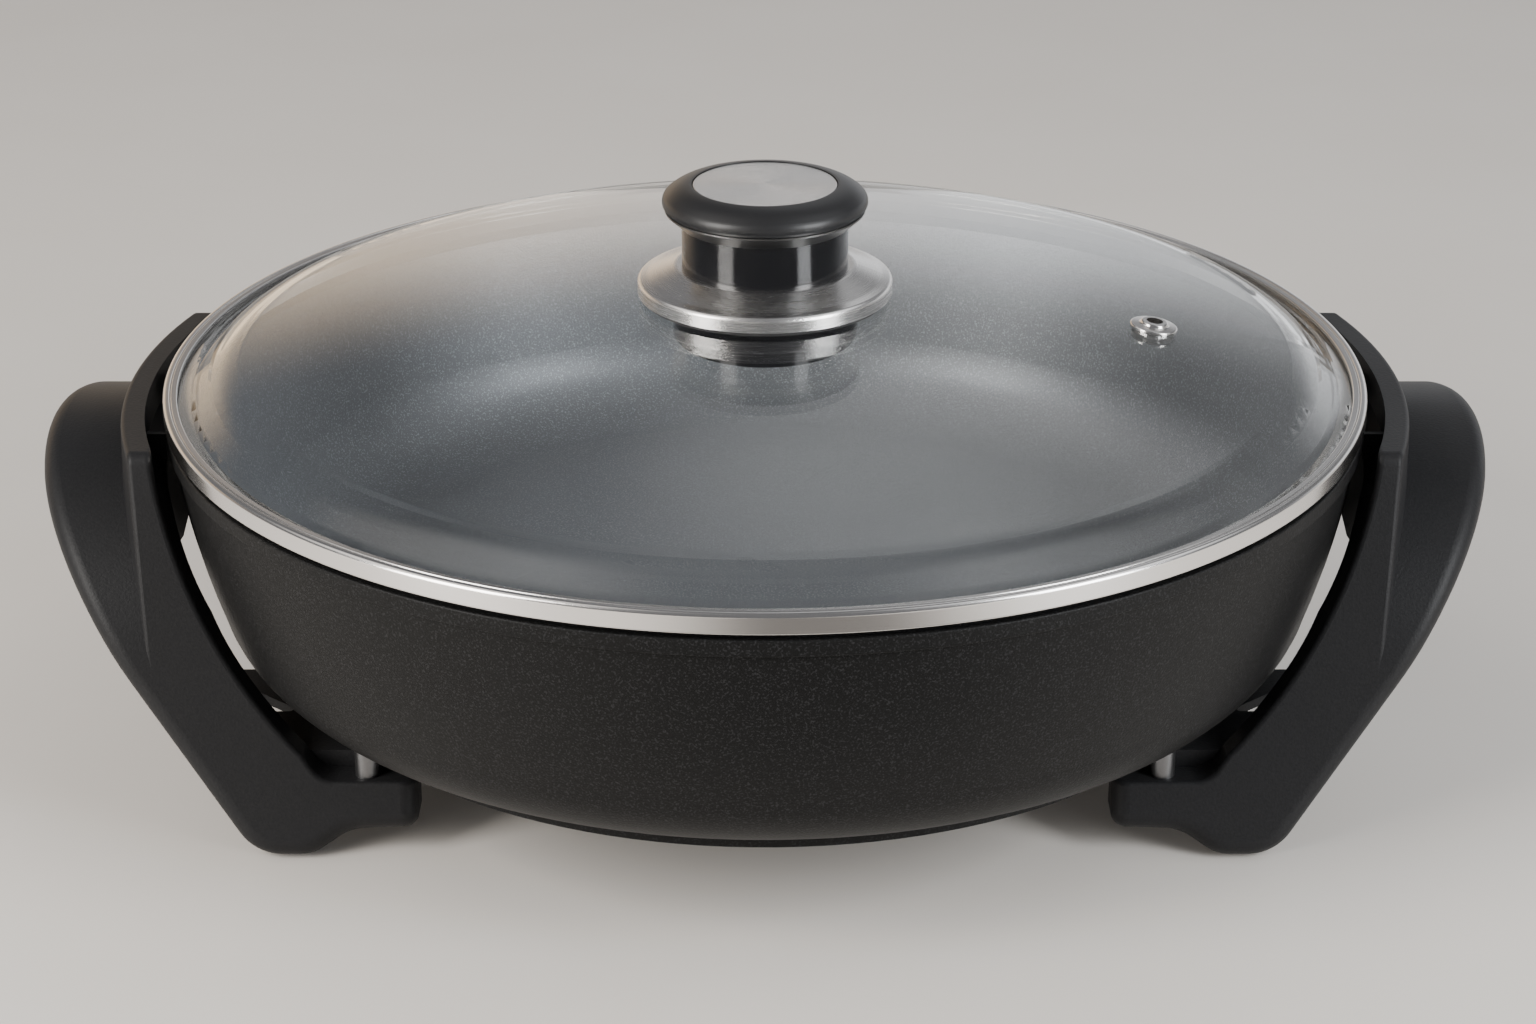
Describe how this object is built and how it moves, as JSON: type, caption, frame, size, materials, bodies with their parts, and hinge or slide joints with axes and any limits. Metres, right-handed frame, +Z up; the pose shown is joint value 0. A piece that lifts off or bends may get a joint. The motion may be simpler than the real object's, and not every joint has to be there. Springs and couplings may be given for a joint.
{
  "type": "electric skillet",
  "caption": "Round deep electric skillet with a domed glass lid, a stepped knob, and two moulded brackets that are grip and legs in one.",
  "frame": {"origin": "centre of the pan on the counter, at the foot of the box round the part", "axes": "+Z up, -Y the front, +X towards the right grip; the thermostat socket is at the rear"},
  "size_m": [0.436, 0.362, 0.178],
  "materials": {
    "pan_coating": "die-cast aluminium with a charcoal non-stick coating, fine metallic speckle",
    "element_steel": "oxidised stainless sheath",
    "pin_steel": "plain steel",
    "ceramic": "unglazed steatite",
    "sleeve_aluminium": "turned aluminium",
    "shroud_plastic": "black phenolic moulding",
    "screw_steel": "zinc-plated steel",
    "bracket_plastic": "black phenolic moulding, fine matt texture",
    "spacer_steel": "turned steel",
    "pad_rubber": "soft black rubber",
    "lid_glass": "clear tempered glass",
    "rim_steel": "polished stainless steel",
    "vent_steel": "polished stainless steel",
    "silicone": "black silicone",
    "flange_steel": "spun stainless steel, satin",
    "knob_gloss": "black phenolic moulding, gloss",
    "brass": "turned brass",
    "collar_metal": "dark grey metallic",
    "knob_satin": "black, satin",
    "disc_steel": "spin-brushed stainless steel"
  },
  "bodies": {
    "base": {"pan_body": "pan_coating", "pan_foot_ring": "pan_coating", "element_rib": "pan_coating", "heating_element": "element_steel", "terminal_pins": "pin_steel", "terminal_insulators": "ceramic", "probe_sleeve": "sleeve_aluminium", "socket_shroud": "shroud_plastic", "shroud_screws": "screw_steel", "left_bracket": "bracket_plastic", "right_bracket": "bracket_plastic", "bracket_spacers": "spacer_steel", "bracket_screws": "screw_steel", "bracket_washers": "screw_steel", "foot_pads": "pad_rubber"},
    "lid": {"lid_glass": "lid_glass", "lid_rim": "rim_steel", "steam_vent": "vent_steel", "vent_washer": "silicone", "knob_gasket": "silicone", "knob_flange": "flange_steel", "knob_column": "knob_gloss", "knob_insert": "brass", "knob_collar": "collar_metal", "knob_cap": "knob_satin", "knob_disc": "disc_steel", "knob_lower_gasket": "silicone", "knob_lower_base": "knob_gloss", "knob_screw": "screw_steel", "knob_washer": "screw_steel"}
  },
  "joints": [
    {"name": "lid_lift", "type": "slide", "parent": "base", "child": "lid", "axis": [0, 0, 1], "range_m": [0, 0.18]}
  ]
}
